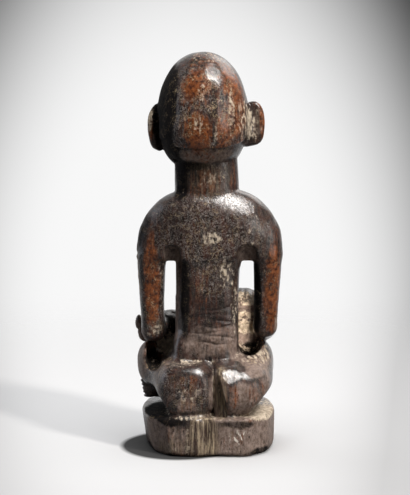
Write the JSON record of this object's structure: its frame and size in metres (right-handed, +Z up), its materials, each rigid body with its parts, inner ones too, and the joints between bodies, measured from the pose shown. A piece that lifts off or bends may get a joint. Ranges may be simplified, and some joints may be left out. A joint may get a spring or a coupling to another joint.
{
  "type": "mother and child figure",
  "caption": "Wooden figure of a mother sitting cross-legged on a low base, her hands on the child that lies across her lap.",
  "frame": {"origin": "middle of the base's flat underside, which rests on the table", "axes": "+Z up through the crown of her head, -Y the way she faces, +X towards her left side"},
  "size_m": [0.0886, 0.0803, 0.238],
  "materials": {
    "patinated_hardwood": "dark brown hardwood, carved with an adze and knife, oiled and handled to a gloss, with reddish worn places and pale dust in its hollows"
  },
  "bodies": {
    "root": {"mother_and_child": "patinated_hardwood"}
  },
  "joints": []
}
